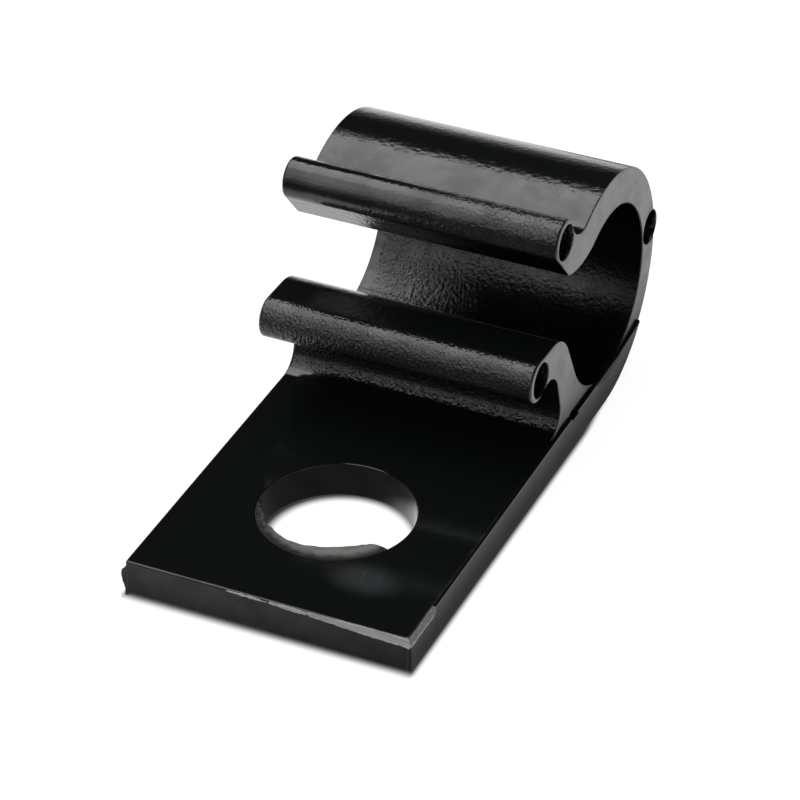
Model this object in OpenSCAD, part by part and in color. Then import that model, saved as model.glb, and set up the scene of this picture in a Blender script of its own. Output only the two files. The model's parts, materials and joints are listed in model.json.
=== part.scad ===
// Screw-down cable clip, moulded in one piece of black plastic.
// A flat plate with a screw hole carries an open C that a cable snaps into from the front.
// Frame: the origin is the centre of the screw hole on the mounting face, +Y points from
// the hole to the cable seat, +X runs along the cable and +Z points up, out of the surface.

/* [Plate] */
// Width of the plate, along the cable
plate_w = 12.5; // [9:0.1:20]
// Thickness of the plate
plate_t = 1.6; // [1.45:0.05:2.2]
// Distance from the screw hole's centre to the free end
free_end = 6.5; // [5:0.1:12]
// Rounding of the two upright corners at the free end
corner_r = 0.15; // [0.05:0.05:1]

/* [Screw hole] */
// Diameter of the screw hole
hole_d = 6.6; // [3:0.1:7.5]

/* [Cable seat] */
// Diameter of the round cable seat
seat_d = 7.9; // [6:0.1:9]
// Distance from the screw hole's centre to the seat's axis
seat_y = 14.1; // [13.5:0.1:20]
// Thickness of the floor under the seat
floor_t = 1.35; // [1:0.05:1.5]
// Thickness of the wall behind the seat
back_t = 1.35; // [1.1:0.05:1.6]
// Thickness of the wall above the seat
top_t = 1.65; // [1.4:0.05:2]
// How far the C's end face stands back from the side of the plate
ledge = 0.16; // [0.05:0.01:0.4]
// How far the rear round of the strip beside the C stands in front of the ring's
strip_in = 0.15; // [0.05:0.01:0.4]

/* [Upper lip] */
// Radius of the rounded throat under the upper lip
flare_r = 4; // [3.4:0.1:4.6]
// Direction from the seat's axis in which the upper lip leaves the seat, in degrees
flare_a = 113; // [108:1:118]
// Diameter of the bead along the upper lip
up_bead_d = 1.8; // [1.7:0.02:2.2]
// Thickness of the upper lip, from its throat to the foot of the bead
lip_t = 1.6; // [1.4:0.05:1.8]
// How deep the upper bead's axis lies under the foot of the bead
up_bead_sink = 0.2; // [0.05:0.01:0.3]
// Direction from the throat's centre to the axis of the upper bead, in degrees
up_bead_a = 223; // [218:1:228]
// Slope of the flat lead-in under the upper bead, in degrees
lead_in_a = 49; // [44:1:54]
// Radius of the valley between the upper bead and the wall above the seat
valley_r = 1.1; // [0.6:0.05:1.5]

/* [Lower lip] */
// Radius of the rounded throat on the lower lip
throat_r = 2; // [1.6:0.05:2.4]
// Direction from the seat's axis to the centre of the lower throat, in degrees
throat_a = 189; // [185:1:193]
// How far the lower throat stands off the seat's circle, which leaves a straight flank between them
throat_out = 0.28; // [0.1:0.02:0.5]
// Diameter of the bead along the lower lip
low_bead_d = 1.84; // [1.7:0.02:2.2]
// How far the lower bead's axis lies in front of the lower throat's centre
low_bead_out = 1.33; // [1.1:0.01:2]
// How far the lower bead's axis lies above the lower throat's centre
low_bead_up = 1.16; // [1:0.02:1.3]
// Thickness of the leg that carries the lower lip
leg_t = 1.65; // [1.4:0.05:1.9]
// Lean of the leg's front face towards the free end, in degrees
leg_lean = 15; // [10:1:20]
// Radius of the fillet where the leg meets the plate
foot_r = 1.05; // [0.6:0.05:1.3]
// Radius of the undercut between the lower bead and the leg
notch_r = 1.1; // [0.8:0.05:1.25]

/* [Push-out marks] */
// Diameter of the rib behind the seat that the rear pin pushed on
rib_d = 1.65; // [1.55:0.05:2]
// Direction from the seat's axis to the rib's axis, in degrees
rib_a = 7; // [-10:1:20]
// Thickness of the wall left between the rear pin mark and the seat
rib_wall = 0.15; // [0.1:0.01:0.3]
// Diameter of the round pin marks in the end face
mark_d = 1.5; // [0.8:0.02:1.54]
// Depth of the pin marks
mark_depth = 0.8; // [0.2:0.05:2]
// How far the upper mark lies from the upper bead's axis, down along the lead-in
up_mark_in = 0.2; // [0:0.02:0.3]
// How far the lower mark lies from the lower bead's axis, towards the leg
low_mark_in = 0.2; // [0:0.02:0.24]
// Direction from the lower bead's axis to the lower mark, in degrees
low_mark_a = -15; // [-45:1:0]
// Diameter of the mark at the foot of the leg, of which only the top clears the plate
foot_mark_d = 0.7; // [0.4:0.05:1]
// How far the foot mark lies behind the leg's front face
foot_mark_in = 1; // [0.7:0.05:1.2]
// How far the foot mark's axis lies under the top of the plate
foot_mark_sink = 0.16; // [0.04:0.02:0.3]
// How deep the foot mark nicks the upper edge of the plate's side
foot_mark_nick = 0.16; // [0.05:0.01:0.2]

/* [Trimmed corner] */
// Distance from the left side to where the bevel along the front edge starts
trim_start = 0.8; // [0.3:0.1:6]
// Height of that bevel at the right end of the front edge
trim_h = 0.48; // [0.1:0.02:0.8]
// Depth of that bevel at the right end, measured back from the front face
trim_depth = 0.12; // [0.05:0.01:0.4]
// Length of the bevel that was left by trimming the gate off the right side
gate_len = 2.35; // [1:0.05:4]
// Height of the gate's bevel
gate_h = 0.38; // [0.1:0.02:0.8]
// Depth of the gate's bevel, measured in from the side face
gate_depth = 0.07; // [0.03:0.01:0.4]

/* [Hidden] */
$fn = 96;

// Rounds that touch overlap by this much, so that they cross cleanly and leave no sliver
ease = 0.003;
// How far an outline runs on inside the piece that it joins
lap = 0.1;

// Plain names for directions and lengths in the side view, where a point is [y, z]
function polar(a, r) = [r * cos(a), r * sin(a)];
function unit(v) = v / norm(v);

// Crossing of two circles, the one that lies to the left of the way from c1 to c2
function crossing(c1, r1, c2, r2) =
    let (gap = norm(c2 - c1), along = unit(c2 - c1))
    let (a = (gap * gap + r1 * r1 - r2 * r2) / (2 * gap))
    let (h = sqrt(r1 * r1 - a * a))
    c1 + a * along + h * [-along[1], along[0]];

// Crossing of two straight lines, each given by a point and a direction
function line_crossing(p, u, q, v) =
    let (k = ((q[0] - p[0]) * v[1] - (q[1] - p[1]) * v[0]) / (u[0] * v[1] - u[1] * v[0]))
    p + k * u;

// Ends of the plate and of the C along the cable
side_l = -plate_w / 2;
side_r = plate_w / 2;
clip_r = side_r - ledge;
clip_w = clip_r - side_l;

// Seat and ring: the ring's outer circle touches the mounting face and keeps the wall sizes
seat_r = seat_d / 2;
seat_c = [seat_y, floor_t + seat_r];
ring_r = (floor_t + seat_d + top_t) / 2;
ring_c = [seat_y + seat_r + back_t - ring_r, ring_r - ease];
far = -2 * ring_r;

// Upper lip: the throat's arc leaves the seat's circle without a kink
up_bead_r = up_bead_d / 2;
flare_dir = polar(flare_a, 1);
flare_in = seat_c + (seat_r - lap) * flare_dir;
flare_c = seat_c + (seat_r + flare_r - ease) * flare_dir;
up_bead_c = flare_c + polar(up_bead_a, flare_r - lip_t + up_bead_sink);
valley_c = crossing(up_bead_c, up_bead_r + valley_r - ease, ring_c, ring_r + valley_r - ease);
valley_low = valley_c - [0, valley_r];
valley_root = ring_c + (ring_r - lap) * unit(valley_c - ring_c);
lead_in_dir = [cos(lead_in_a), -sin(lead_in_a)];
lead_in_on_bead = up_bead_c - (up_bead_r - ease) * [sin(lead_in_a), cos(lead_in_a)];
lip_corner = line_crossing(lead_in_on_bead, lead_in_dir, flare_in, [-flare_dir[1], flare_dir[0]]);

// Lower lip: a straight flank touches the seat's circle and the throat, a straight crown the
// throat and the bead
low_bead_r = low_bead_d / 2;
throat_off = seat_r + throat_r + throat_out;
throat_c = seat_c + polar(throat_a, throat_off);
flank_a = throat_a + acos((seat_r + throat_r - 2 * ease) / throat_off);
flank_on_seat = seat_c + polar(flank_a, seat_r - ease);
flank_on_throat = throat_c - polar(flank_a, throat_r - ease);
low_bead_c = throat_c + [-low_bead_out, low_bead_up];
bead_to_throat = throat_c - low_bead_c;
crown_a = atan2(bead_to_throat[1], bead_to_throat[0])
    + acos((low_bead_r - throat_r) / norm(bead_to_throat));
crown_on_bead = low_bead_c + polar(crown_a, low_bead_r - ease);
crown_on_throat = throat_c + polar(crown_a, throat_r - ease);
throat_top = throat_c[1] + 2 * throat_r;

// Leg: its front face lies leg_t outside the seat and leans towards the free end
leg_out = [-cos(leg_lean), -sin(leg_lean)];
leg_up = [-sin(leg_lean), cos(leg_lean)];
leg_face = seat_c + (seat_r + leg_t) * leg_out;
leg_foot = line_crossing(leg_face, leg_up, [0, plate_t], [1, 0]);
leg_root = leg_foot - lap * leg_up;
foot_off = foot_r - ease;
foot_c = line_crossing(leg_face + foot_off * leg_out, leg_up, [0, plate_t + foot_off], [1, 0]);

// Undercut: a round that touches the leg's front face and the lower bead
notch_from = leg_face + (notch_r - ease) * leg_out - low_bead_c;
notch_reach = low_bead_r + notch_r - ease;
notch_along = notch_from * leg_up;
notch_half = sqrt(notch_along * notch_along - notch_from * notch_from + notch_reach * notch_reach);
notch_c = low_bead_c + notch_from - (notch_along + notch_half) * leg_up;
notch_on_leg = notch_c - (notch_r - ease) * leg_out;

// Pin marks and rib
rib_c = seat_c + polar(rib_a, seat_r + rib_wall + mark_d / 2);
up_mark_c = up_bead_c + up_mark_in * lead_in_dir;
low_mark_c = low_bead_c + polar(low_mark_a, low_mark_in);
foot_mark_c = leg_foot + [foot_mark_in, -foot_mark_sink];

// Turns a side view of [y, z] points into a solid that runs from x0 over a length along X
module along_x(x0, length) {
    translate([x0, 0, 0])
        rotate([90, 0, 90])
            linear_extrude(height = length)
                children();
}

module disc(c, r) {
    translate(c)
        circle(r = r);
}

// Round wall behind and above the seat, which ends in the upper lip
module ring_side() {
    difference() {
        disc(ring_c, ring_r);
        polygon([
            [ring_c[0], seat_c[1]], flare_in, valley_low, [far, valley_low[1]], [far, far], [ring_c[0], far]
        ]);
    }
}

module upper_lip_side() {
    difference() {
        intersection() {
            disc(flare_c, flare_r);
            polygon([flare_in, lip_corner, lead_in_on_bead, up_bead_c, valley_c, valley_root]);
        }
        disc(valley_c, valley_r);
    }
    disc(up_bead_c, up_bead_r);
}

// Floor in front of the ring, leg, throat, crown and bead, with the undercut and the foot fillet
module lower_lip_side() {
    floor_end = ring_c[0] + lap;
    difference() {
        union() {
            polygon([
                [leg_root[0], 0], leg_root, notch_on_leg, notch_c,
                low_bead_c, crown_on_bead, crown_on_throat,
                flank_on_throat, flank_on_seat, [floor_end, seat_c[1]], [floor_end, 0]
            ]);
            intersection() {
                disc(throat_c, throat_r);
                polygon([
                    low_bead_c, flank_on_seat, [flank_on_seat[0], throat_top], [low_bead_c[0], throat_top]
                ]);
            }
        }
        disc(notch_c, notch_r);
    }
    disc(low_bead_c, low_bead_r);
    difference() {
        polygon([
            foot_c, [foot_c[0], plate_t - lap], [leg_foot[0] + lap, plate_t - lap],
            foot_c - (foot_r + lap) * leg_out
        ]);
        disc(foot_c, foot_r);
    }
}

module clip_side() {
    difference() {
        union() {
            ring_side();
            upper_lip_side();
            lower_lip_side();
            disc(rib_c, rib_d / 2);
        }
        disc(seat_c, seat_r);
        translate([ring_c[0] + far, far])
            square([-2 * far, -far]);
    }
}

// Side view of the plate: flat, with the rear end rounded like the ring that it runs into
module plate_side() {
    flat_end = ring_c[0] - strip_in;
    translate([-free_end, 0])
        square([free_end + flat_end, plate_t]);
    intersection() {
        disc([flat_end, ring_c[1]], ring_r);
        translate([flat_end - lap, 0])
            square([ring_r + lap, plate_t]);
    }
}

// Plan of the plate, with small rounds at the free end's corners
module plate_plan() {
    length = free_end + ring_c[0] + ring_r;
    translate([side_l + corner_r, -free_end])
        square([plate_w - 2 * corner_r, length]);
    translate([side_l, corner_r - free_end])
        square([plate_w, length - corner_r]);
    for (x = [side_l + corner_r, side_r - corner_r])
        disc([x, corner_r - free_end], corner_r);
}

// Block whose underside cuts everything on the far side of a plane through p with normal n
module cut_beyond(p, n, size) {
    translate(p)
        rotate([0, acos(n[2] / norm(n)), atan2(n[1], n[0])])
            translate([-size / 2, -size / 2, 0])
                cube(size);
}

// Bevel along the front edge: it starts at nothing near the left corner and grows to the right one
module front_trim() {
    length = plate_w - trim_start;
    cut_beyond(
        [side_l + trim_start, -free_end, plate_t],
        cross([length, 0, -trim_h], [length, trim_depth, 0]),
        2 * plate_w
    );
}

// Bevel on the right side where the gate was cut off
module gate_trim() {
    intersection() {
        cut_beyond([side_r, 0, plate_t - gate_h], [gate_h, 0, gate_depth], 2 * plate_w);
        translate([0, -2 * free_end, 0])
            cube([plate_w, free_end + gate_len, 2 * plate_t]);
    }
}

module plate() {
    difference() {
        intersection() {
            along_x(side_l, plate_w)
                plate_side();
            linear_extrude(height = plate_t)
                plate_plan();
        }
        front_trim();
        gate_trim();
        along_x(side_l - lap, clip_w + lap)
            disc(seat_c, seat_r);
    }
}

// Round marks left in the C's end face by the pins that pushed the part out of its mould
module pin_marks() {
    along_x(clip_r - mark_depth, mark_depth + 2 * ledge) {
        for (c = [up_mark_c, low_mark_c, rib_c])
            disc(c, mark_d / 2);
        intersection() {
            disc(foot_mark_c, foot_mark_d / 2);
            translate([foot_mark_c[0] - foot_mark_d, plate_t - foot_mark_nick])
                square(2 * foot_mark_d);
        }
    }
}

module clip_body() {
    color("#1a1b1d")
        difference() {
            union() {
                plate();
                along_x(side_l, clip_w)
                    clip_side();
            }
            translate([0, 0, -plate_t])
                cylinder(d = hole_d, h = 3 * plate_t);
            pin_marks();
        }
}

clip_body();
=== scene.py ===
# %% [markdown]
# # A snap-in cable clip of black plastic
# The clip is one moulded piece: a flat plate with a screw hole, and an open C that a cable snaps into.
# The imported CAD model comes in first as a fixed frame. Everything that follows is built in the same frame,
# with the origin at the screw hole, +X along the cable, +Y from the hole to the seat and +Z up.
# Lengths are worked out in millimetres, because that is how the part is drawn, and scaled to metres last.

import json
import math
import random

import bmesh
import bpy
import numpy as np
from mathutils import Matrix, Vector

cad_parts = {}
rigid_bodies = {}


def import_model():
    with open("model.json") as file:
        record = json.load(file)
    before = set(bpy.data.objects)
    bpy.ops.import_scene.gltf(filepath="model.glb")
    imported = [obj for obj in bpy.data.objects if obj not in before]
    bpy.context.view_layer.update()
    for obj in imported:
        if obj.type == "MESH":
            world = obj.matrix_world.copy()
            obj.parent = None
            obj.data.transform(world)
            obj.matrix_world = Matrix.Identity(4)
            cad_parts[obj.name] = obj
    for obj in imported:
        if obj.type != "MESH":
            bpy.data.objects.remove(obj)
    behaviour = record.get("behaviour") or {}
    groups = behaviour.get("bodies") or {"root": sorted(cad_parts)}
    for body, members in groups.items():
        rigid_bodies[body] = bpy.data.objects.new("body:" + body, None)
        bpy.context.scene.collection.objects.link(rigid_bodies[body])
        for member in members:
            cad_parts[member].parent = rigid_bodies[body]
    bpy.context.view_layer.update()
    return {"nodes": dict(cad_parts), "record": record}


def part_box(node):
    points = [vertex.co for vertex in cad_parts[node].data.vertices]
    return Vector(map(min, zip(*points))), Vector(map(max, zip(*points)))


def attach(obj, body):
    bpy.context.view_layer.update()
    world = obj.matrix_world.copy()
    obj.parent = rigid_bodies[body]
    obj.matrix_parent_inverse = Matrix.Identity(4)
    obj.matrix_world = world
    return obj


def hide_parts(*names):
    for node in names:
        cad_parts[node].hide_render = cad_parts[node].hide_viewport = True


for leftover in list(bpy.data.objects):
    bpy.data.objects.remove(leftover)
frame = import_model()
MM = 0.001
print("frame nodes:", sorted(frame["nodes"]))

# %% [markdown]
# ## Sizes from the frame
# The plate's sides, its front end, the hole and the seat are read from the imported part, so this model follows it.
# What a box or a mount can't tell, such as the radius of a bead, is a named value here.

# %% Read the main sizes
box_low, box_high = (np.array(corner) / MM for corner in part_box("clip_body"))
mounts = {mount["name"]: mount for mount in frame["record"]["mounts"]}
hole_r = mounts["screw_hole"]["dims"]["r_mm"]
plate_t = mounts["screw_hole"]["dims"]["length_mm"]
seat_r = mounts["cable_seat"]["dims"]["r_mm"]
seat_c = np.array(mounts["cable_seat"]["pos_m"][1:]) / MM
side_l, side_r, front = box_low[0], box_high[0], box_low[1]
clip_r = side_l + mounts["cable_seat"]["dims"]["length_mm"]
print(f"plate {side_r - side_l:.2f} mm wide, {plate_t:.2f} mm thick, seat radius {seat_r:.2f} mm")

# %% [markdown]
# ## The side outline
# Seen along the cable, the whole clip is one closed line of arcs and short straights that touch without a kink.
# It could be drawn as a Bezier curve by eye, but then nothing ties a bead to its lip. Here each round's centre
# follows from its neighbours: a fillet lies one radius off both faces, and two arcs meet where their centres line up.

# %% Helpers for the side view, where a point is (y, z)
def polar(angle, r=1.0):
    a = math.radians(angle)
    return r * np.array([math.cos(a), math.sin(a)])


def heading(v):
    return math.degrees(math.atan2(v[1], v[0]))


def unit(v):
    return v / np.linalg.norm(v)


def arc(centre, r, start, end, step=4.0):
    """Points on a round from one angle to another; the last one is left to the next stretch."""
    n = max(2, math.ceil(abs(end - start) / step))
    return [centre + polar(start + (end - start) * i / n, r) for i in range(n)]


def circles_cross(c1, r1, c2, r2):
    """The crossing of two circles to the left of the way from c1 to c2."""
    gap, along = np.linalg.norm(c2 - c1), unit(c2 - c1)
    a = (gap * gap + r1 * r1 - r2 * r2) / (2 * gap)
    h = math.sqrt(r1 * r1 - a * a)
    return c1 + a * along + h * np.array([-along[1], along[0]])


def lines_cross(p, u, q, v):
    k = ((q[0] - p[0]) * v[1] - (q[1] - p[1]) * v[0]) / (u[0] * v[1] - u[1] * v[0])
    return p + k * u


def soft_corner(before, corner, after, r, steps=4):
    """A small round in place of a sharp corner."""
    u, w = unit(np.subtract(before, corner)), unit(np.subtract(after, corner))
    half = math.acos(float(np.clip(u @ w, -1, 1))) / 2
    centre = corner + unit(u + w) * r / math.sin(half)
    reach = r / math.tan(half)
    a0, a1 = heading(corner + reach * u - centre), heading(corner + reach * w - centre)
    turn = (a1 - a0 + 180) % 360 - 180
    return [centre + polar(a0 + turn * i / steps, r) for i in range(steps + 1)]


# %% Ring, rib and upper lip
top_wall, back_wall = 1.65, 1.35
flare_r, flare_a = 4.0, 113
up_bead_r, up_bead_a, lip_t, bead_sink = 0.9, 223, 1.6, 0.2
lead_in_a, valley_r = 49, 1.1
rib_r, rib_a, rib_off = 0.825, 7, 0.9
edge_r, front_r, tip_r = 0.065, 0.085, 0.06

floor_t = seat_c[1] - seat_r
ring_r = (floor_t + 2 * seat_r + top_wall) / 2
ring_c = np.array([seat_c[0] + seat_r + back_wall - ring_r, ring_r])
rib_c = seat_c + polar(rib_a, seat_r + rib_off)
flare_c = seat_c + polar(flare_a, seat_r + flare_r)
up_bead_c = flare_c + polar(up_bead_a, flare_r - lip_t + bead_sink)
valley_c = circles_cross(up_bead_c, up_bead_r + valley_r, ring_c, ring_r + valley_r)
lead_in = polar(-lead_in_a)
lead_in_top = up_bead_c + polar(270 - lead_in_a, up_bead_r)
to_flare = lead_in_top - flare_c
slant = lead_in @ to_flare
lip_tip = lead_in_top + lead_in * (-slant + math.sqrt(slant**2 - to_flare @ to_flare + flare_r**2))
tip_a = heading(lip_tip - flare_c) % 360
print(f"upper bead at {up_bead_c.round(2)}, lip's tip at {lip_tip.round(2)}")

# %% Lower lip and leg
throat_r, throat_a, throat_gap = 2.0, 189, 0.28
low_bead_r, low_bead_off = 0.92, np.array([-1.33, 1.16])
leg_t, leg_lean, foot_r, notch_r = 1.65, 15, 1.05, 1.1

throat_off = seat_r + throat_r + throat_gap
throat_c = seat_c + polar(throat_a, throat_off)
flank_a = throat_a + math.degrees(math.acos((seat_r + throat_r) / throat_off))
low_bead_c = throat_c + low_bead_off
crown_a = heading(-low_bead_off) + math.degrees(math.acos((low_bead_r - throat_r) / np.linalg.norm(low_bead_off)))
leg_out, leg_up = polar(180 + leg_lean), polar(90 + leg_lean)
leg_face = seat_c + (seat_r + leg_t) * leg_out
foot_c = lines_cross(leg_face + foot_r * leg_out, leg_up, np.array([0, plate_t + foot_r]), np.array([1, 0]))
leg_foot = lines_cross(leg_face, leg_up, np.array([0, plate_t]), np.array([1, 0]))
notch_from = leg_face + notch_r * leg_out - low_bead_c
notch_along = notch_from @ leg_up
notch_half = math.sqrt(notch_along**2 - notch_from @ notch_from + (low_bead_r + notch_r) ** 2)
notch_c = low_bead_c + notch_from - (notch_along + notch_half) * leg_up
print(f"lower bead at {low_bead_c.round(2)}, undercut at {notch_c.round(2)}, foot at {leg_foot.round(2)}")

# %% Join the stretches into one closed outline
rib_low = circles_cross(rib_c, rib_r, ring_c, ring_r)
rib_high = circles_cross(ring_c, ring_r, rib_c, rib_r)
rib_start, rib_end = heading(rib_low - rib_c), heading(rib_high - rib_c)
seat_end = flank_a - 360
front_low, front_top = np.array([front, 0.0]), np.array([front, plate_t])
front_hold = 0.4  # a point this far behind a front corner keeps the long straight apart from the corner's round

clip_outline = [
    *soft_corner(front_top, front_low, [0, 0], front_r),
    np.array([front + front_hold, 0.0]),
    *arc(ring_c, ring_r, -90, heading(rib_low - ring_c), 3),
    *arc(rib_c, rib_r, rib_start, rib_end, 10),
    *arc(ring_c, ring_r, heading(rib_high - ring_c), heading(valley_c - ring_c), 2.5),
    *arc(valley_c, valley_r, heading(ring_c - valley_c), heading(up_bead_c - valley_c) % 360 - 360, 8),
    *arc(up_bead_c, up_bead_r, heading(valley_c - up_bead_c), 270 - lead_in_a, 6),
    lead_in_top,
    *soft_corner(lead_in_top, lip_tip, flare_c + polar(tip_a + 3, flare_r), tip_r),
    *arc(flare_c, flare_r, tip_a + 3, flare_a + 180, 3),
    *arc(seat_c, seat_r, flare_a, seat_end, 3),
    seat_c + polar(seat_end, seat_r),
    *arc(throat_c, throat_r, flank_a - 180, crown_a, 5),
    throat_c + polar(crown_a, throat_r),
    *arc(low_bead_c, low_bead_r, crown_a, heading(notch_c - low_bead_c) % 360, 6),
    *arc(notch_c, notch_r, heading(low_bead_c - notch_c), leg_lean, 6),
    notch_c + polar(leg_lean, notch_r),
    *arc(foot_c, foot_r, leg_lean, -90, 6),
    foot_c - [0, foot_r],
    np.array([front + front_hold, plate_t]),
    *soft_corner([0, plate_t], front_top, front_low, front_r),
]
print(len(clip_outline), "points on the clip's outline")

# %% [markdown]
# ## From outline to solid
# A curve with a bevel could be extruded along X, but its ends would be knife sharp. A moulded edge is always a little
# round, and that thin round is what catches the light. So each end is a stack of outlines that shrink along a
# quarter circle. The two upright corners at the plate's free end are rounder, so each point has its own radius.

# %% Helpers for meshes
def turn_outward(mesh):
    shell = bmesh.new()
    shell.from_mesh(mesh)
    bmesh.ops.recalc_face_normals(shell, faces=shell.faces)
    shell.to_mesh(mesh)
    shell.free()


def new_object(name, verts, faces, material=None):
    mesh = bpy.data.meshes.new(name)
    mesh.from_pydata([tuple(map(float, v)) for v in verts], [], faces)
    turn_outward(mesh)
    if material:
        mesh.materials.append(material)
    obj = bpy.data.objects.new(name, mesh)
    bpy.context.scene.collection.objects.link(obj)
    return obj


def tube_faces(rings, count):
    """Quads between rings of points, and a face on the first and the last ring."""
    faces = [tuple(reversed(range(count))), tuple((rings - 1) * count + i for i in range(count))]
    for j in range(rings - 1):
        for i in range(count):
            k = (i + 1) % count
            faces.append((j * count + i, j * count + k, (j + 1) * count + k, (j + 1) * count + i))
    return faces


def inward(outline):
    """For each point of a closed outline, the way into the solid, long enough to keep the offset even."""
    p = np.array(outline)
    edge = np.roll(p, -1, 0) - p
    normal = np.stack([-edge[:, 1], edge[:, 0]], 1) / np.linalg.norm(edge, axis=1, keepdims=True)
    both = normal + np.roll(normal, 1, 0)
    return both / np.maximum((both**2).sum(1, keepdims=True) / 2, 0.4)


def prism_along_x(name, outline, x_from, x_to, radius, material, steps=5):
    p, way = np.array(outline), inward(outline)
    radius = np.broadcast_to(radius, len(p))
    rings = []
    for end, sign in ((x_from, 1), (x_to, -1)):
        turns = [90 * i / steps for i in range(steps + 1)]
        for turn in turns[::-1] if sign > 0 else turns:
            inset = radius * (1 - polar(turn)[0])
            flat = p + way * inset[:, None]
            x = end + sign * radius * (1 - polar(turn)[1])
            rings.append(np.column_stack([x, flat]))
    return new_object(name, np.vstack(rings), tube_faces(len(rings), len(p)), material)


def spool(name, profile, place, segments, material):
    """A turned solid: profile holds (radius, height) pairs, and place puts its axis where it belongs."""
    rings = []
    for r, h in profile:
        for i in range(segments):
            c, s = polar(360 * i / segments)
            rings.append(place @ Vector((r * c, r * s, h)))
    return new_object(name, rings, tube_faces(len(profile), segments), material)


# %% [markdown]
# ## Finishes as node groups
# Three effects make this plastic. Spark erosion left a fine grain in parts of the mould, the polished parts still ripple
# a little where the plastic shrank, and handling leaves faint scuffs. The nodes could be laid out anew in each material,
# but a group is built once, and each material that places it gives its own sizes.

# %% Helpers for nodes
def put(tree, kind, inputs=None, **settings):
    made = tree.nodes.new(kind)
    for key, value in settings.items():
        setattr(made, key, value)
    for key, value in (inputs or {}).items():
        if isinstance(value, bpy.types.NodeSocket):
            tree.links.new(value, made.inputs[key])
        else:
            made.inputs[key].default_value = value
    return made


def calc(tree, operation, a, b=0.0, clamp=False):
    return put(tree, "ShaderNodeMath", {0: a, 1: b}, operation=operation, use_clamp=clamp).outputs[0]


def chain(tree, operation, first, *others):
    """Joins two or more sockets or numbers by one operation."""
    for other in others:
        first = calc(tree, operation, first, other)
    return first


def times(tree, *values):
    return chain(tree, "MULTIPLY", *values)


def plus(tree, *values):
    return chain(tree, "ADD", *values)


def vector_calc(tree, operation, a, b):
    return put(tree, "ShaderNodeVectorMath", {0: a, 1: b}, operation=operation).outputs[0]


def ramp(tree, value, low, high, to_low=0.0, to_high=1.0):
    """A soft step: to_low below low, to_high above high."""
    return put(
        tree, "ShaderNodeMapRange",
        {"Value": value, "From Min": low, "From Max": high, "To Min": to_low, "To Max": to_high},
        interpolation_type="SMOOTHSTEP",
    ).outputs["Result"]


# %% Helpers for node groups
VECTOR, FLOAT = "NodeSocketVector", "NodeSocketFloat"


def new_group(name, inputs, outputs):
    group = bpy.data.node_groups.new(name, "ShaderNodeTree")
    for label, kind, value in inputs:
        socket = group.interface.new_socket(label, in_out="INPUT", socket_type=kind)
        if value is not None:
            socket.default_value = value
    for label in outputs:
        group.interface.new_socket(label, in_out="OUTPUT", socket_type=FLOAT)
    return group, group.nodes.new("NodeGroupInput").outputs, group.nodes.new("NodeGroupOutput").inputs


def place_group(tree, group, inputs):
    return put(tree, "ShaderNodeGroup", inputs, node_tree=group).outputs


# %% Spark-eroded grain
pit_share = 0.6
spark_grain, gin, gout = new_group("spark_grain", [("Place", VECTOR, None), ("Size", FLOAT, 0.12)], ["Height"])
per_grain = calc(spark_grain, "DIVIDE", 1.0, gin["Size"])
pits = put(spark_grain, "ShaderNodeTexVoronoi", {"Vector": gin["Place"], "Scale": per_grain}).outputs["Distance"]
crumbs = put(spark_grain, "ShaderNodeTexNoise",
             {"Vector": gin["Place"], "Scale": per_grain, "Detail": 2.0, "Roughness": 0.6}).outputs["Fac"]
spark_grain.links.new(plus(spark_grain, times(spark_grain, pits, pit_share), crumbs), gout["Height"])
print("spark_grain has", len(spark_grain.nodes), "nodes")

# %% Ripple of the polished skin
def ripple(tree, place, scale):
    """Soft, cloudy noise."""
    cloudy = {"Vector": place, "Scale": scale, "Detail": 3.0, "Roughness": 0.55}
    return put(tree, "ShaderNodeTexNoise", cloudy).outputs["Fac"]


skin_ripple, gin, gout = new_group("skin_ripple", [("Place", VECTOR, None), ("Size", FLOAT, 1.0)], ["Height"])
per_ripple = calc(skin_ripple, "DIVIDE", 1.0, gin["Size"])
skin_ripple.links.new(ripple(skin_ripple, gin["Place"], per_ripple), gout["Height"])
print("skin_ripple has", len(skin_ripple.nodes), "nodes")

# %% Scuffs from handling
scratch_stretch, haze_scale = (0.5, 14.0, 1.0), 0.45
handling, gin, gout = new_group("handling", [("Place", VECTOR, None), ("Angle", FLOAT, 0.5)], ["Scratch"])
turned = put(handling, "ShaderNodeVectorRotate", {"Vector": gin["Place"], "Angle": gin["Angle"]}, rotation_type="Z_AXIS")
long_lines = vector_calc(handling, "MULTIPLY", turned.outputs[0], scratch_stretch)
hair = put(handling, "ShaderNodeTexNoise", {"Vector": long_lines, "Scale": 1.0, "Detail": 1.0}).outputs["Fac"]
haze = put(handling, "ShaderNodeTexNoise", {"Vector": gin["Place"], "Scale": haze_scale, "Detail": 3.0}).outputs["Fac"]
handling.links.new(times(handling, ramp(handling, hair, 0.6, 0.75), ramp(handling, haze, 0.42, 0.7)), gout["Scratch"])
print("handling has", len(handling.nodes), "nodes")

# %% [markdown]
# ## The moulded plastic
# Black plastic has almost no colour of its own: what shows is the studio, mirrored in its skin. So the work is in the
# relief, the roughness and the strength of the mirror. The seat and the lips are grained, the back of the C is
# polished, its end faces are plain, and a patch beside the hole is scuffed. The end faces also get a stronger mirror, a
# painted brighter reflection; the leg's front and the far end of the seat get a weaker one, which paints shade there;
# and the plate's top gets a weaker one too. Masks for all that could be painted by hand. Here they come from the
# outline's own sizes, so that each finish stays on its piece.

# %% Helpers for a material
def new_material(name):
    """A material, its nodes, its shader and the place on the surface in millimetres."""
    material = bpy.data.materials.new(name)
    material.use_nodes = True
    tree = material.node_tree
    coords = put(tree, "ShaderNodeTexCoord").outputs["Object"]
    in_mm = put(tree, "ShaderNodeVectorMath", {0: coords, "Scale": 1 / MM}, operation="SCALE").outputs[0]
    return material, tree, tree.nodes["Principled BSDF"], in_mm


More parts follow.
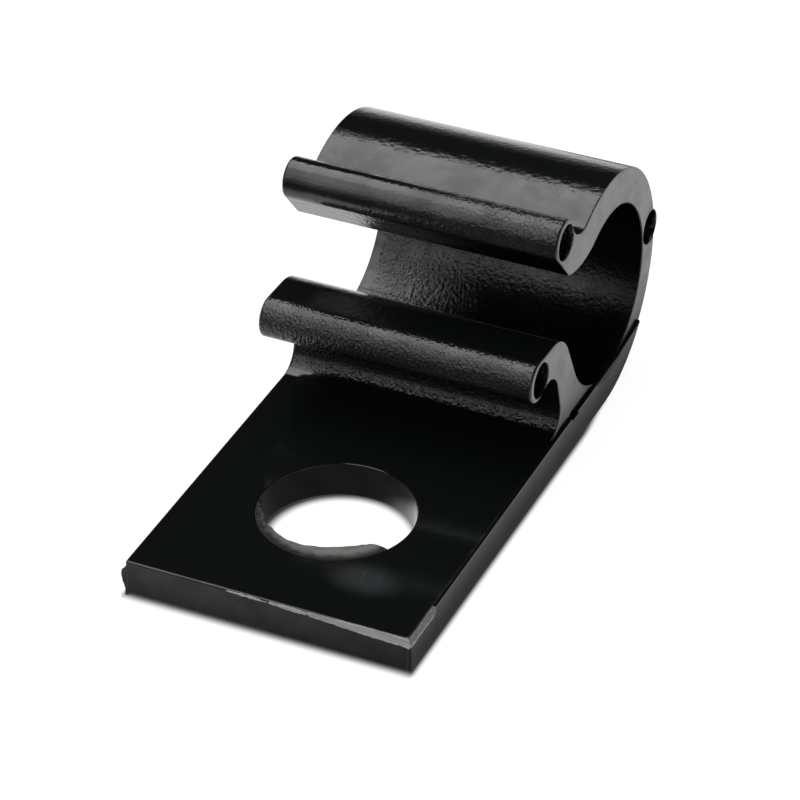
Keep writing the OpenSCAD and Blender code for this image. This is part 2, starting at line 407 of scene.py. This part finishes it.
def length(tree, a):
    return put(tree, "ShaderNodeVectorMath", {0: a}, operation="LENGTH").outputs["Value"]


def hypotenuse(tree, a, b):
    return calc(tree, "SQRT", plus(tree, times(tree, a, a), times(tree, b, b)))


def rest_of(tree, mask):
    return calc(tree, "SUBTRACT", 1.0, mask)


def blend(tree, factor, low, high):
    return put(tree, "ShaderNodeMix", {"Factor": factor, "A": low, "B": high}, data_type="FLOAT").outputs[0]


def tint(tree, factor, low, high):
    """A colour between two, each given as red, green and blue."""
    colours = {"Factor": factor, "A": (*low, 1), "B": (*high, 1)}
    return put(tree, "ShaderNodeMix", colours, data_type="RGBA").outputs["Result"]


def relief(tree, skin, height):
    """Bump from a height in millimetres."""
    bump = put(tree, "ShaderNodeBump", {"Height": height, "Distance": MM, "Strength": 1.0})
    tree.links.new(bump.outputs["Normal"], skin.inputs["Normal"])


def near_axis(tree, along, axis, radius, blur):
    """A mask of 1 within a radius of an axis along X at (y, z), which fades out over the blur."""
    off_y, off_z = calc(tree, "SUBTRACT", along["Y"], axis[0]), calc(tree, "SUBTRACT", along["Z"], axis[1])
    over = calc(tree, "DIVIDE", calc(tree, "SUBTRACT", hypotenuse(tree, off_y, off_z), radius), blur)
    return calc(tree, "SUBTRACT", 1.0, calc(tree, "MAXIMUM", over, 0.0), clamp=True)


# %% Where each finish lies
leg_reach, leg_blur, leg_sink = 2.6, 0.6, 0.7
low_bead_reach, up_bead_reach, bead_blur = 0.95, 1.1, 0.5
seat_over, seat_blur, leg_share = 0.03, 0.1, 0.75
up_grain_left, up_grain_right = 0.05, 0.6
patch_c, patch_stretch = (3.0, -3.7, plate_t), (0.5, 0.8, 2.0)

black_plastic, tree, skin, at = new_material("black_plastic")
along = put(tree, "ShaderNodeSeparateXYZ", {0: at}).outputs
end_face = times(tree, ramp(tree, along["X"], clip_r - 0.03, clip_r - 0.01),
                 ramp(tree, along["X"], clip_r + 0.02, clip_r + 0.04, 1.0, 0.0))
off_end_face = rest_of(tree, end_face)
in_seat = times(tree, near_axis(tree, along, seat_c, seat_r + seat_over, seat_blur),
                ramp(tree, along["X"], side_l + 0.25, side_l + 0.7))
on_leg = times(tree, near_axis(tree, along, notch_c - [0, leg_sink], leg_reach, leg_blur),
               ramp(tree, along["Z"], plate_t + 0.05, plate_t + 0.4),
               ramp(tree, along["Z"], low_bead_c[1] + 0.2, low_bead_c[1] + 0.7, 1.0, 0.1))
on_low_bead = near_axis(tree, along, low_bead_c - [0.4, 0.3], low_bead_reach, bead_blur)
on_up_bead = times(tree, near_axis(tree, along, up_bead_c, up_bead_reach, bead_blur),
                   ramp(tree, along["X"], -4.0, 3.5, up_grain_left, up_grain_right))
lips = calc(tree, "MAXIMUM", times(tree, calc(tree, "MAXIMUM", on_leg, on_low_bead), leg_share), on_up_bead)
lips = times(tree, lips, off_end_face, ramp(tree, along["X"], side_l + 0.03, side_l + 0.12))
rolled = times(tree, ramp(tree, along["Z"], plate_t + 0.02, plate_t + 0.3), off_end_face,
               ramp(tree, along["X"], side_l + 0.01, side_l + 0.05), ramp(tree, lips, 0.0, leg_share, 1.0, 0.4))
plate_top = times(tree, ramp(tree, along["Z"], plate_t - 0.012, plate_t - 0.004),
                  ramp(tree, along["Z"], plate_t + 0.005, plate_t + 0.03, 1.0, 0.0))
from_patch = vector_calc(tree, "MULTIPLY", vector_calc(tree, "SUBTRACT", at, patch_c), patch_stretch)
worn = ramp(tree, length(tree, from_patch), 0.2, 1.0, 1.0, 0.0)
print("masks for the black plastic:", len(tree.nodes), "nodes")

# %% Relief of the black plastic
seat_grain_size, lip_grain_size, swell_size, peel_size, scuff_turn = 0.16, 0.14, 1.1, 0.25, 1.5
seat_deep, seat_shallow, lip_deep, swell_deep, peel_deep, scratch_deep = 0.032, 0.013, 0.055, 0.006, 0.018, 0.004
seat_grain = place_group(tree, spark_grain, {"Place": at, "Size": seat_grain_size})["Height"]
lip_grain = place_group(tree, spark_grain, {"Place": at, "Size": lip_grain_size})["Height"]
orange_peel = place_group(tree, skin_ripple, {"Place": at, "Size": peel_size})["Height"]
scratches = place_group(tree, handling, {"Place": at, "Angle": scuff_turn})["Scratch"]
swell = ripple(tree, at, 1 / swell_size)
relief(tree, skin, plus(
    tree,
    times(tree, seat_grain, in_seat, ramp(tree, along["X"], -2.5, 1.5, seat_deep, seat_shallow)),
    times(tree, lip_grain, lips, lip_deep),
    times(tree, swell, swell_deep),
    times(tree, orange_peel, rolled, peel_deep),
    times(tree, scratches, worn, -scratch_deep),
))
print("with relief:", len(tree.nodes), "nodes")

# %% Gloss of the black plastic
polished_rough, worn_rough, grained_rough = 0.11, 0.12, 0.27
seat_shade, plate_matt, dimmed_mirror, end_mirror = 0.8, 0.6, 0.25, 1.6
gloss = plus(tree, polished_rough, times(tree, worn, worn_rough),
             times(tree, end_face, ramp(tree, swell, 0.3, 0.7, 0.08, 0.25)))
grained = calc(tree, "MAXIMUM", in_seat, lips)
tree.links.new(blend(tree, grained, gloss, grained_rough), skin.inputs["Roughness"])

# The strength of the mirror changes over the skin, so it is linked. An export leaves a linked strength out.
# Painted shade: a weaker mirror darkens the leg's front under the lower bead and the far end of the seat.
painted_leg_shade = times(tree, calc(tree, "SUBTRACT", on_leg, on_low_bead, clamp=True),
                  ramp(tree, along["Z"], plate_t + 0.4, plate_t + 0.7), off_end_face)
painted_seat_shade = times(tree, in_seat, ramp(tree, along["X"], 2.0, clip_r, 0.0, seat_shade))
shade_and_matt = chain(tree, "MAXIMUM", painted_leg_shade, painted_seat_shade, times(tree, plate_top, plate_matt))
# The end faces get a stronger mirror, a painted brighter reflection, and the plate's top gets a weaker one.
mirror = times(tree, ramp(tree, swell, 0.35, 0.65, 0.44, 0.58), ramp(tree, shade_and_matt, 0.0, 1.0, 1.0, dimmed_mirror),
               ramp(tree, end_face, 0.0, 1.0, 1.0, end_mirror))
tree.links.new(mirror, skin.inputs["Specular IOR Level"])
skin.inputs["IOR"].default_value = 1.52
print("with gloss:", len(tree.nodes), "nodes")

# %% Colour of the black plastic
deep_black, scuffed_grey = (0.0044, 0.0055, 0.0053), (0.055, 0.058, 0.064)
film_share = 0.35
film = times(tree, worn, plus(tree, film_share, times(tree, scratches, 1 - film_share)))
tree.links.new(tint(tree, film, deep_black, scuffed_grey), skin.inputs["Base Color"])
print("black_plastic has", len(tree.nodes), "nodes")

# %% [markdown]
# ## The trimmed plastic
# Where a knife took off the gate and a ridge along the front edge, the cut is not polished by a mould. It is rough and
# pale, with fine lines along the stroke. A painted mask would have to follow the wavering edge of the cut. Giving the
# cutting solids this material hands it on to just the faces they leave.

# %% Trimmed plastic
stroke_stretch, torn_size, stroke_deep, torn_deep = (0.6, 4.0, 14.0), 0.09, 0.02, 0.008
cut_grey, cut_pale = (0.48, 0.484, 0.49), (0.75, 0.755, 0.76)
trimmed_plastic, tree, skin, at = new_material("trimmed_plastic")
stroke = vector_calc(tree, "MULTIPLY", at, stroke_stretch)
lines = put(tree, "ShaderNodeTexNoise", {"Vector": stroke, "Scale": 1.0, "Detail": 3.0}).outputs["Fac"]
torn = place_group(tree, spark_grain, {"Place": at, "Size": torn_size})["Height"]
relief(tree, skin, plus(tree, times(tree, lines, stroke_deep), times(tree, torn, torn_deep)))
tree.links.new(tint(tree, ramp(tree, lines, 0.35, 0.7), cut_grey, cut_pale), skin.inputs["Base Color"])
tree.links.new(ramp(tree, torn, 0.2, 0.9, 0.38, 0.55), skin.inputs["Roughness"])
print("trimmed_plastic has", len(tree.nodes), "nodes")

# %% [markdown]
# ## The flash's plastic
# Where the plastic is as thin as a hair, light goes through it and it looks brown-grey instead of black. Light could be
# traced through the web, but that is slow and noisy at this size. The web is thick at the wall and thin at its free
# edge, so its colour simply follows the distance from the hole's axis.

# %% Thin plastic
cloud_size, cloud_deep, thin_from = 0.5, 0.03, 0.75
wall_black, web_grey = (0.008, 0.008, 0.008), (0.2, 0.192, 0.181)
thin_plastic, tree, skin, at = new_material("thin_plastic")
along = put(tree, "ShaderNodeSeparateXYZ", {0: at}).outputs
across = hypotenuse(tree, along["X"], along["Y"])
cloud = place_group(tree, skin_ripple, {"Place": at, "Size": cloud_size})["Height"]
thin = calc(tree, "SUBTRACT", ramp(tree, across, hole_r - thin_from, hole_r - 0.02, 1.0, 0.0),
            ramp(tree, cloud, 0.4, 0.7, 0.0, 0.25), clamp=True)
tree.links.new(tint(tree, thin, wall_black, web_grey), skin.inputs["Base Color"])
relief(tree, skin, times(tree, cloud, cloud_deep))
skin.inputs["Roughness"].default_value = 0.5
skin.inputs["Specular IOR Level"].default_value = 0.3
print("thin_plastic has", len(tree.nodes), "nodes")

# %% [markdown]
# ## The clip's body
# The C and the plate share one outline, so the foot's fillet runs out into the plate with no seam. Only the narrow strip
# that stands past the C's end face is a second prism. It is a hair smaller than the plate, so that the Boolean that
# joins them never has to weigh two faces in one plane.

# %% Body and strip
corner_r, bead_end_r, strip_r, hair_gap, strip_in, strip_lap = 0.08, 0.12, 0.1, 0.0004, 0.3, 0.3
tip_rise, tip_from = 0.25, 2.6


def edge_radii(outline, plain_r):
    """The rounding of the end edges: larger at the plate's free end and round the beads."""
    beads, radii = ((up_bead_c, up_bead_r), (low_bead_c, low_bead_r)), []
    for y, z in outline:
        to_bead = min(math.hypot(y - c[0], z - c[1]) - r for c, r in beads)
        radii.append(corner_r if y < front + 1.5 * front_r else bead_end_r if to_bead < 0.01 else plain_r)
    return radii


body = prism_along_x("clip", clip_outline, side_l, clip_r, edge_radii(clip_outline, edge_r), black_plastic)
strip_top, strip_low, strip_front = plate_t - hair_gap, hair_gap, front + hair_gap
strip_end = ring_c[0] - strip_in
strip_stop = math.degrees(math.asin((strip_top + tip_rise - ring_r) / ring_r))
strip_tip = np.array([strip_end, ring_r]) + polar(strip_stop, ring_r)
strip_outline = [
    *soft_corner([strip_front, plate_t], np.array([strip_front, strip_low]), [0, strip_low], front_r),
    np.array([strip_front + front_hold, strip_low]),
    np.array([strip_end, strip_low]),
    *arc(np.array([strip_end, ring_r]), ring_r, -87, strip_stop, 3),
    strip_tip,
    np.array([strip_tip[0] - tip_from, strip_top]),
    np.array([strip_front + front_hold, strip_top]),
    *soft_corner([0, strip_top], np.array([strip_front, strip_top]), [strip_front, 0], front_r),
]
strip_radii = edge_radii(strip_outline, strip_r)
strip = prism_along_x("strip", strip_outline, clip_r - strip_lap, side_r, strip_radii, black_plastic)
print(len(body.data.polygons), "faces on the body,", len(strip.data.polygons), "on the strip")

# %% [markdown]
# ## What is cut out
# A screw hole, three round marks where pins pushed the part out of its mould, a small mark at the leg's foot, and two
# bevels left by a knife. A plain cylinder would leave sharp rims, so the cutters flare a little where they come out.

# %% Hole and pin marks
hole_rim, mark_r, mark_depth, mark_rim = 0.06, 0.75, 0.8, 0.1
mark_shift, low_mark_a, hole_segments, mark_segments = 0.2, -15, 144, 48
hole_profile = [(hole_r + hole_rim, -0.5), (hole_r + hole_rim, -0.02)]
hole_profile += [(hole_r + hole_rim * (1 - polar(a)[0]), hole_rim * (1 - polar(a)[1])) for a in (65, 45, 22, 0)]
hole_profile += [(r, plate_t - h) for r, h in reversed(hole_profile)]
hole_cut = spool("hole_cut", hole_profile, Matrix.Identity(4), hole_segments, black_plastic)

up_mark_c = up_bead_c + mark_shift * lead_in
low_mark_c = low_bead_c + polar(low_mark_a, mark_shift)
mark_profile = [(mark_r - 0.05, -mark_depth), (mark_r - 0.015, 0.015 - mark_depth), (mark_r, 0.05 - mark_depth),
                (mark_r, -mark_rim), (mark_r + 0.3 * mark_rim, -0.3 * mark_rim),
                (mark_r + 1.3 * mark_rim, 0.3 * mark_rim), (mark_r + 1.3 * mark_rim, 0.5)]
to_x = Matrix.Rotation(math.radians(90), 4, "Y")
mark_cuts = [
    spool(f"mark_cut_{i}", mark_profile, Matrix.Translation((clip_r, *c)) @ to_x, mark_segments, black_plastic)
    for i, c in enumerate((up_mark_c, low_mark_c, rib_c))
]
foot_mark_r, foot_mark_in, foot_mark_sink = 0.35, 1.0, 0.16
foot_mark_c = leg_foot + [foot_mark_in, -foot_mark_sink]
foot_mark = [*arc(foot_mark_c, foot_mark_r, 0, 180, 15), foot_mark_c - [foot_mark_r, 0]]
mark_cuts.append(prism_along_x("foot_mark_cut", foot_mark, clip_r - mark_depth, side_r + 0.3, 0.001, black_plastic))
print(len(mark_cuts), "marks")

# %% Bevels left by the knife
random.seed(7)
trim_start, trim_h, trim_depth, trim_growth, trim_waver, trim_steps = 1.3, 0.47, 0.08, 1.3, 0.025, 60
gate_len, gate_h, gate_depth, gate_step, gate_steps = 2.35, 0.38, 0.12, 0.035, 24
overshoot, gate_overshoot, run_out = 0.6, 3, 0.3


def wedge(name, sections, material):
    """A three-sided bar through a row of sections, each a triangle of points. Its twisted quads are split in two."""
    verts = [p for section in sections for p in section]
    faces = []
    for face in tube_faces(len(sections), 3):
        faces += [face] if len(face) == 3 else [(face[0], face[1], face[2]), (face[0], face[2], face[3])]
    return new_object(name, verts, faces, material)


sections, wander = [], 0.0
for i in range(trim_steps + 1):
    share = i / trim_steps
    x = side_l + trim_start + share * (side_r - side_l - trim_start + 0.2)
    wander = 0.7 * wander + random.uniform(-trim_waver, trim_waver)
    sway = wander * min(1, 3 * share)
    h = max(0.004, trim_h * share**trim_growth + sway)
    d = max(0.003, trim_depth * share**trim_growth + 0.6 * sway)
    low, top = np.array([x, front, plate_t - h]), np.array([x, front + d, plate_t])
    under, over = low + overshoot * (low - top), top + overshoot * (top - low)
    sections.append((under, np.array([x, front - 1, plate_t + 1]), over))
front_trim = wedge("front_trim", sections, trimmed_plastic)

sections = []
for i in range(gate_steps + 1):
    share = i / gate_steps
    y = front - run_out + share * (gate_len + run_out)
    low, top = np.array([side_r - gate_step, y, plate_t - gate_h]), np.array([side_r - gate_depth, y, plate_t])
    sections.append((np.array([side_r + 1, y, plate_t - gate_h]), low, top + gate_overshoot * (top - low)))
gate_trim = wedge("gate_trim", sections, trimmed_plastic)
print("bevels cut by", len(front_trim.data.polygons), "and", len(gate_trim.data.polygons), "faces")

# %% Run the Booleans
def combine(target, tools):
    """Applies a row of (tool, operation) Booleans to the target's mesh and removes the tools."""
    for tool, operation in tools:
        modifier = target.modifiers.new(tool.name, "BOOLEAN")
        modifier.operation, modifier.solver, modifier.object = operation, "MANIFOLD", tool
        modifier.material_mode = "TRANSFER"
    bpy.context.view_layer.update()
    graph = bpy.context.evaluated_depsgraph_get()
    mesh = bpy.data.meshes.new_from_object(target.evaluated_get(graph))
    target.modifiers.clear()
    target.data = mesh
    for tool, operation in tools:
        bpy.data.objects.remove(tool)


combine(body, [(strip, "UNION"), (front_trim, "DIFFERENCE"), (gate_trim, "DIFFERENCE"), (hole_cut, "DIFFERENCE")]
        + [(cut, "DIFFERENCE") for cut in mark_cuts])


def open_edges(obj):
    mesh = bmesh.new()
    mesh.from_mesh(obj.data)
    count = sum(not e.is_manifold for e in mesh.edges)
    mesh.free()
    return count


print(len(body.data.polygons), "faces after the Booleans,", open_edges(body), "open edges")

# %% [markdown]
# ## Clean shading
# Booleans leave tiny edges and large flat faces side by side, and plain smooth shading would bend the light over both.
# So points that fell together are merged, edges sharper than a moulded round are marked sharp, and the Weighted Normal
# modifier lets the large flat faces decide, so they stay flat.

# %% Merge, mark sharp edges and scale to metres
def finish_mesh(obj, sharp_angle=35, merge=0.0015):
    mesh = bmesh.new()
    mesh.from_mesh(obj.data)
    bmesh.ops.remove_doubles(mesh, verts=mesh.verts, dist=merge)
    bmesh.ops.dissolve_degenerate(mesh, edges=mesh.edges, dist=merge / 3)
    bmesh.ops.delete(mesh, geom=[e for e in mesh.edges if e.is_wire], context="EDGES")
    for face in mesh.faces:
        face.smooth = True
    for edge in mesh.edges:
        if len(edge.link_faces) == 2:
            edge.smooth = edge.calc_face_angle(0) < math.radians(sharp_angle)
    bmesh.ops.scale(mesh, vec=(MM, MM, MM), verts=mesh.verts)
    mesh.to_mesh(obj.data)
    mesh.free()
    even = obj.modifiers.new("flat faces first", "WEIGHTED_NORMAL")
    even.keep_sharp, even.weight = True, 90


finish_mesh(body)
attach(body, "root")
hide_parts("clip_body")
print(len(body.data.polygons), "faces,", open_edges(body), "open edges")

# %% [markdown]
# ## Flash in the hole
# A thin web of plastic was squeezed into the hole between the mould's halves and never trimmed. It starts just under the
# rim and slopes down towards the middle. It could be sculpted, but a sculpted web is hard to keep both thin and closed.
# So it is built of sections along the rim: each is a small wedge whose reach follows a smooth curve through a few
# widths, with a little seeded unevenness.

# %% Hole flash
def smooth_through(pairs, value):
    """Follows (place, value) pairs with an eased step between neighbours."""
    places, values = zip(*pairs)
    i = min(max(int(np.searchsorted(places, value)) - 1, 0), len(places) - 2)
    s = min(max((value - places[i]) / (places[i + 1] - places[i]), 0), 1)
    s = s * s * (3 - 2 * s)
    return values[i] * (1 - s) + values[i + 1] * s


flash_reach = [(184, 0.04), (196, 0.2), (207, 0.38), (214, 0.34), (225, 0.55), (242, 0.68), (258, 0.86), (274, 1.08),
               (294, 1.21), (306, 1.2), (320, 1.08), (328, 0.93), (331, 0.83), (332.6, 0.66), (333.6, 0.3),
               (334.2, 0.03)]
flash_crumple = [(184, 1.0), (215, 1.0), (235, 0.15), (338, 0.1)]
flash_top, flash_drop, flash_t, flash_root, flash_step = 0.04, 0.18, 0.09, 0.12, 0.8
slope, web_z = flash_drop / 1.1, plate_t - flash_top
random.seed(3)
rings, turn, unrest = [], flash_reach[0][0], 0.0
while turn <= flash_reach[-1][0]:
    unrest = 0.6 * unrest + random.uniform(-0.02, 0.02)
    crumple = smooth_through(flash_crumple, turn)
    reach = smooth_through(flash_reach, turn) * (1 + 0.5 * crumple * unrest)
    lift = crumple * unrest * 1.5
    section = [(-flash_root, 0.0), (0.02, -0.005), (0.35 * reach, -0.3 * slope * reach + 0.5 * lift),
               (0.75 * reach, -0.75 * slope * reach + lift), (reach - 0.02, -slope * reach + lift),
               (reach, -slope * reach - 0.3 * flash_t + lift), (reach - 0.03, -slope * reach - 0.6 * flash_t + lift),
               (0.5 * reach, -0.6 * slope * reach - flash_t + 0.5 * lift), (-flash_root, -1.5 * flash_t)]
    c, s = polar(turn)
    rings.append([((hole_r - out) * c, (hole_r - out) * s, web_z + dz) for out, dz in section])
    turn += flash_step


def through_rings(name, rings, material):
    """A closed skin through rows of points."""
    return new_object(name, [p for ring in rings for p in ring], tube_faces(len(rings), len(rings[0])), material)


hole_flash = through_rings("hole_flash", rings, thin_plastic)
finish_mesh(hole_flash, 50, 0.0005)
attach(hole_flash, "root")
print("flash:", len(hole_flash.data.polygons), "faces,", open_edges(hole_flash), "open edges")

# %% [markdown]
# ## Burr on the corner
# At the front left corner a thin fin hangs over the side, where plastic crept between the mould's halves. A flat plane
# would do from the front, but from the side it would vanish. So it is a stack of small rounded sections up the corner,
# each as long as the fin stands out there.

# %% Corner burr
burr_out = [(0.0, 0.02), (0.06, 0.05), (0.3, 0.13), (0.55, 0.21), (0.85, 0.25), (1.08, 0.22), (1.22, 0.1), (1.32, 0.02)]
burr_t, burr_root, burr_steps = 0.1, 0.12, 24
half, rings = burr_t / 2, []
for i in range(burr_steps + 1):
    z = burr_out[-1][0] * i / burr_steps
    out = smooth_through(burr_out, z)
    lean = 0.3 * max(0, 1 - z / 0.2)
    y0 = front + half + 0.015 - lean * 0.4
    section = [(burr_root, half), (-0.4 * out, 0.8 * half), (-0.85 * out, 0.45 * half), (-out, 0.0),
               (-0.85 * out, -0.45 * half), (-0.4 * out, -0.8 * half), (burr_root, -half)]
    rings.append([(side_l + dx, y0 + dy, z) for dx, dy in section])
corner_burr = through_rings("corner_burr", rings, black_plastic)
finish_mesh(corner_burr, 60, 0.0005)
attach(corner_burr, "root")
print("burr:", len(corner_burr.data.polygons), "faces,", open_edges(corner_burr), "open edges")

# %% [markdown]
# ## Floor
# The clip lies on a white sheet. More light could make it white, but the clip would be overlit too. So the sheet is
# lit like the clip through a grey colour, which keeps the lamps' shadow, and a glow of its own, never above 1, lifts it
# to white for the camera. Near the clip the glow falls off with the distance from the clip's outline, which paints the
# thin dark contact shadow under the edges. As the clip mirrors it, the sheet's glow and colour are painted by place:
# dark in front, dark near the sides and in part of the hole, and white farther out at the sides, like a studio with
# pale screens on both sides. That is painted shade and painted reflection, not light from lamps.

# %% Painted tone of the sheet as the clip mirrors it
sheet, tree, paper, spot = new_material("white_sheet")
on_floor = put(tree, "ShaderNodeSeparateXYZ", {0: spot}).outputs
far = length(tree, spot)
dark_ahead, grey_ahead, front_dim, right_dim = 0.12, 0.58, 0.6, 0.66
under_side, grey_side, white_side, mid_x, hole_dark = 0.16, 0.6, 0.4, 0.3, 0.14
# Painted shade and reflection: dark in front of the clip, dark close beside it, white farther out at the sides.
painted_shade_ahead = times(tree, ramp(tree, on_floor["Y"], front - 6, front - 2.5, dark_ahead, grey_ahead),
              ramp(tree, on_floor["Y"], front - 1.6, front, 1.0, front_dim),
              ramp(tree, on_floor["X"], side_l, side_r, 1.0, right_dim))
aside = calc(tree, "ABSOLUTE", calc(tree, "SUBTRACT", on_floor["X"], mid_x))
painted_shade_beside = plus(tree, ramp(tree, aside, side_r - 0.2, side_r + 1.2, under_side, grey_side),
              ramp(tree, aside, side_r + 0.8, side_r + 1.4, 0.0, white_side))
behind_front = ramp(tree, on_floor["Y"], front - 0.3, front + 2)
in_hole = ramp(tree, far, hole_r + 0.1, hole_r + 0.5, 1.0, 0.0)
# Painted shade in the hole: dark at its left, white at its right.
painted_hole_shade = ramp(tree, on_floor["X"], 0.2, 1.7, hole_dark, 1.0)
painted_mirror_tone = blend(tree, in_hole, blend(tree, behind_front, painted_shade_ahead, painted_shade_beside), painted_hole_shade)
print("the sheet's mirrored tone:", len(tree.nodes), "nodes")

# %% Painted contact shadow
def past(tree, place, low, high):
    """How far a place on the floor lies outside low to high."""
    off = calc(tree, "ABSOLUTE", calc(tree, "SUBTRACT", place, (low + high) / 2))
    return calc(tree, "MAXIMUM", calc(tree, "SUBTRACT", off, (high - low) / 2), 0.0)


side_squeeze, shadow_w, rear_rise, rear_len = 1.8, 0.52, 0.35, 3
lit_spot, near_white, white_from, white_to = (0.12, 0.02, 0), 0.95, 50, 400
# Painted contact shadow: the glow fades with the distance from the plate's outline and from a circle in the hole. It is
# not a shadow cast by a lamp.
to_side = times(tree, past(tree, on_floor["X"], side_l, side_r), side_squeeze)
gap = hypotenuse(tree, to_side, past(tree, on_floor["Y"], front, ring_c[0]))
gap = plus(tree, gap, ramp(tree, on_floor["Y"], ring_c[0] - rear_len, ring_c[0], 0.0, rear_rise))
from_lit = length(tree, vector_calc(tree, "SUBTRACT", spot, lit_spot))
gap = calc(tree, "MAXIMUM", gap, calc(tree, "SUBTRACT", hole_r, from_lit))
glow_with_painted_shadow = times(tree, ramp(tree, gap, -0.05, shadow_w), ramp(tree, far, white_from, white_to, near_white, 1.0))
print("with its contact shadow:", len(tree.nodes), "nodes")

# %% White sheet
floor_size, lit_grey = 6.0, 0.14
path = put(tree, "ShaderNodeLightPath").outputs
# Glossy rays see the sheet's grey and glow scaled by the painted tone.
mirrored = blend(tree, path["Is Glossy Ray"], 1.0, painted_mirror_tone)
tree.links.new(tint(tree, mirrored, (0, 0, 0), (lit_grey, lit_grey, lit_grey)), paper.inputs["Base Color"])
glow = plus(tree, times(tree, path["Is Camera Ray"], glow_with_painted_shadow), times(tree, path["Is Glossy Ray"], painted_mirror_tone))
tree.links.new(glow, paper.inputs["Emission Strength"])
paper.inputs["Emission Color"].default_value = (1, 1, 1, 1)
paper.inputs["Roughness"].default_value = 0.9
paper.inputs["Specular IOR Level"].default_value = 0.1
corners = [(sx * floor_size, sy * floor_size, 0) for sx, sy in ((-1, -1), (1, -1), (1, 1), (-1, 1))]
floor = new_object("floor", corners, [(0, 1, 2, 3)], sheet)
print("floor of", 2 * floor_size, "m")

# %% [markdown]
# ## Light
# Glossy black shows the lamps more than it is lit by them. Four softboxes stand in a row from above the clip to low in
# front of it, each dimmer than the one before, so that together they work like one large curved screen. One lamp
# would do for light, but its mirror image would end at a hard edge. Theirs is the band on the front of the C and on
# both beads, which fades downwards. A faint glow lies along the horizon, and the rest of the studio is dark.

# %% Softboxes
def softbox(name, place, size_x, size_y, turn, glow):
    """A rectangular lamp, turned about X, Y and Z; glow is how bright its mirror image is, where 1 is white."""
    light = bpy.data.lights.new(name, "AREA")
    light.shape, light.size, light.size_y = "RECTANGLE", size_x, size_y
    light.energy = glow * math.pi * size_x * size_y
    lamp = bpy.data.objects.new(name, light)
    lamp.location = place
    lamp.rotation_euler = [math.radians(a) for a in turn]
    bpy.context.scene.collection.objects.link(lamp)
    print(f"{name} of {light.energy:.2f} W")


softbox("softbox_above", (-0.18, 0.165, 0.5), 0.46, 0.49, (0, 0, 0), 3.4)
softbox("softbox_middle", (-0.18, -0.295, 0.5), 0.46, 0.43, (0, 0, 0), 2.0)
softbox("softbox_front", (-0.28, -0.78, 0.52), 1.0, 0.26, (58, 0, -20), 1.6)
softbox("softbox_low", (-0.31, -0.88, 0.3), 1.0, 0.26, (72, 0, -19), 0.7)

# %% Studio with a glow along the horizon
horizon_glow, dark_glow = 0.32, 0.02
studio = bpy.data.worlds.new("studio")
bpy.context.scene.world = studio
studio.use_nodes = True
tree = studio.node_tree
walls = tree.nodes["Background"]
walls.inputs["Color"].default_value = (0.95, 0.97, 1.0, 1)
sky_way = put(tree, "ShaderNodeTexCoord").outputs["Generated"]
rise = put(tree, "ShaderNodeSeparateXYZ", {0: sky_way}).outputs["Z"]
tree.links.new(ramp(tree, rise, 0.08, 0.25, horizon_glow, dark_glow), walls.inputs["Strength"])
print("studio glows from", horizon_glow, "at the horizon to", dark_glow, "above")

# %% [markdown]
# ## Camera
# The place and the lens were found by fitting a pinhole camera to the plate's edges, the hole and the side outline. It
# could be turned by eye in the viewport, but the lens decides how fast edges run together, and that is hard to judge.

# %% Camera at the photograph's viewing angle
view_az, view_el, view_roll = (math.radians(a) for a in (24.5888, 34.6392, -0.2778))
camera_place = Vector((54.5912, -113.0541, 93.7641)) * MM
lens_mm, sensor_mm, near_clip = 172.723, 36.0, 0.01
level_right = Vector((math.cos(view_az), math.sin(view_az), 0))
level_ahead = Vector((-math.sin(view_az), math.cos(view_az), 0))
forward = level_ahead * math.cos(view_el) - Vector((0, 0, math.sin(view_el)))
upward = level_ahead * math.sin(view_el) + Vector((0, 0, math.cos(view_el)))
right = level_right * math.cos(view_roll) + upward * math.sin(view_roll)
upward = upward * math.cos(view_roll) - level_right * math.sin(view_roll)
camera_data = bpy.data.cameras.new("camera")
camera_data.lens, camera_data.sensor_width, camera_data.clip_start = lens_mm, sensor_mm, near_clip
camera = bpy.data.objects.new("camera", camera_data)
camera.matrix_world = Matrix.Translation(camera_place) @ Matrix((right, upward, -forward)).transposed().to_4x4()
bpy.context.scene.collection.objects.link(camera)
bpy.context.scene.camera = camera
bpy.context.scene.view_settings.view_transform = "Standard"
print(f"camera {camera_place.length * 1000:.0f} mm from the hole, with a lens of {lens_mm:.0f} mm")
